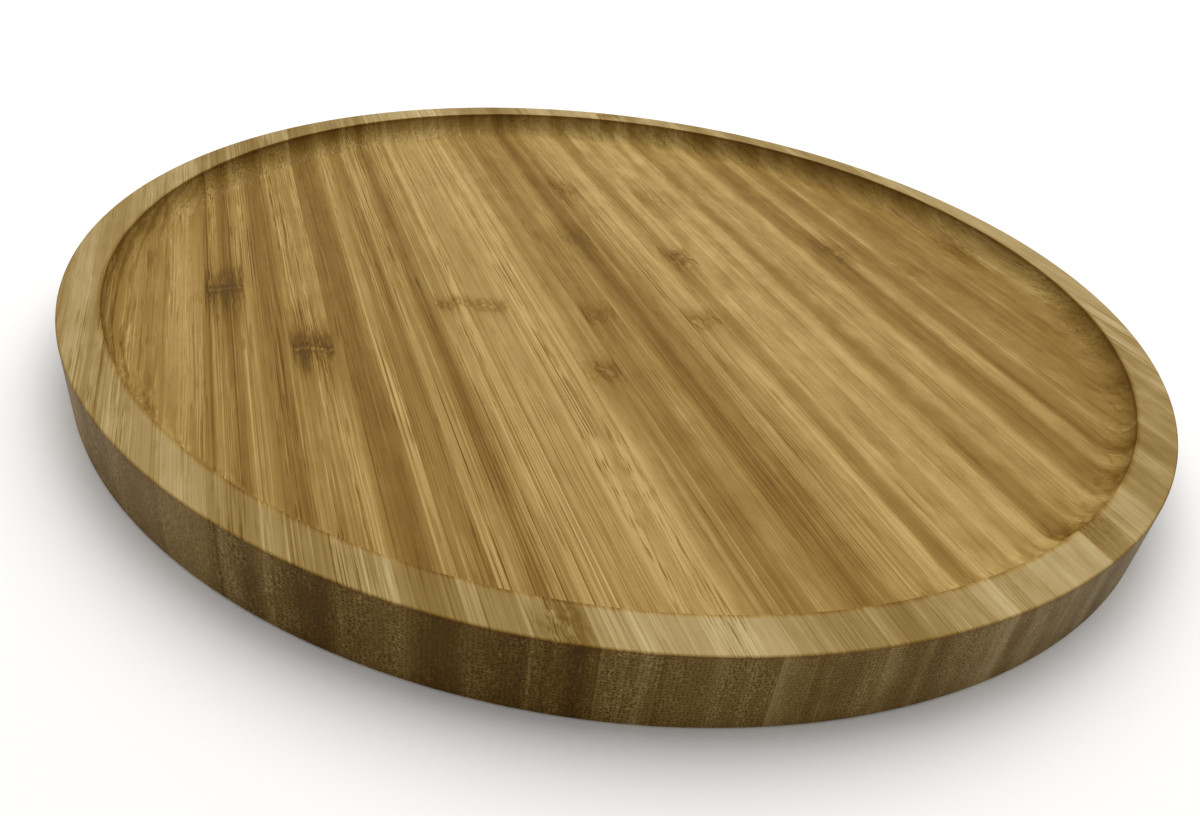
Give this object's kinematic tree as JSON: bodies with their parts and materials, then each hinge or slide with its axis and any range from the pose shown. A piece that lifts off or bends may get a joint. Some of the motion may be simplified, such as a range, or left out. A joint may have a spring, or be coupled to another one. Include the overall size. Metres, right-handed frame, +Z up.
{
  "type": "round serving tray",
  "caption": "Round flat-bottomed serving tray of upright bamboo strips glued side by side, with a flat raised rim and a shallow recess whose floor meets the rim in a coved corner.",
  "frame": {"origin": "centre of the flat underside, on the surface the tray stands on", "axes": "+Z up out of the recess; the strips and their glue joints run along Y and are numbered from -X to +X"},
  "size_m": [0.32, 0.32, 0.02],
  "materials": {
    "bamboo_pale": "satin",
    "bamboo_honey": "satin",
    "bamboo_tan": "satin",
    "bamboo_brown": "satin"
  },
  "bodies": {
    "root": {"strip_01": "bamboo_pale", "strip_02": "bamboo_honey", "strip_03": "bamboo_tan", "strip_04": "bamboo_pale", "strip_05": "bamboo_brown", "strip_06": "bamboo_brown", "strip_07": "bamboo_honey", "strip_08": "bamboo_brown", "strip_09": "bamboo_tan", "strip_10": "bamboo_tan", "strip_11": "bamboo_pale", "strip_12": "bamboo_pale", "strip_13": "bamboo_pale", "strip_14": "bamboo_honey", "strip_15": "bamboo_tan", "strip_16": "bamboo_brown", "strip_17": "bamboo_honey", "strip_18": "bamboo_pale", "strip_19": "bamboo_pale", "strip_20": "bamboo_pale", "strip_21": "bamboo_pale", "strip_22": "bamboo_honey", "strip_23": "bamboo_pale", "strip_24": "bamboo_honey", "strip_25": "bamboo_honey", "strip_26": "bamboo_brown", "strip_27": "bamboo_honey", "strip_28": "bamboo_brown", "strip_29": "bamboo_tan", "strip_30": "bamboo_brown", "strip_31": "bamboo_pale", "strip_32": "bamboo_pale"}
  },
  "joints": []
}
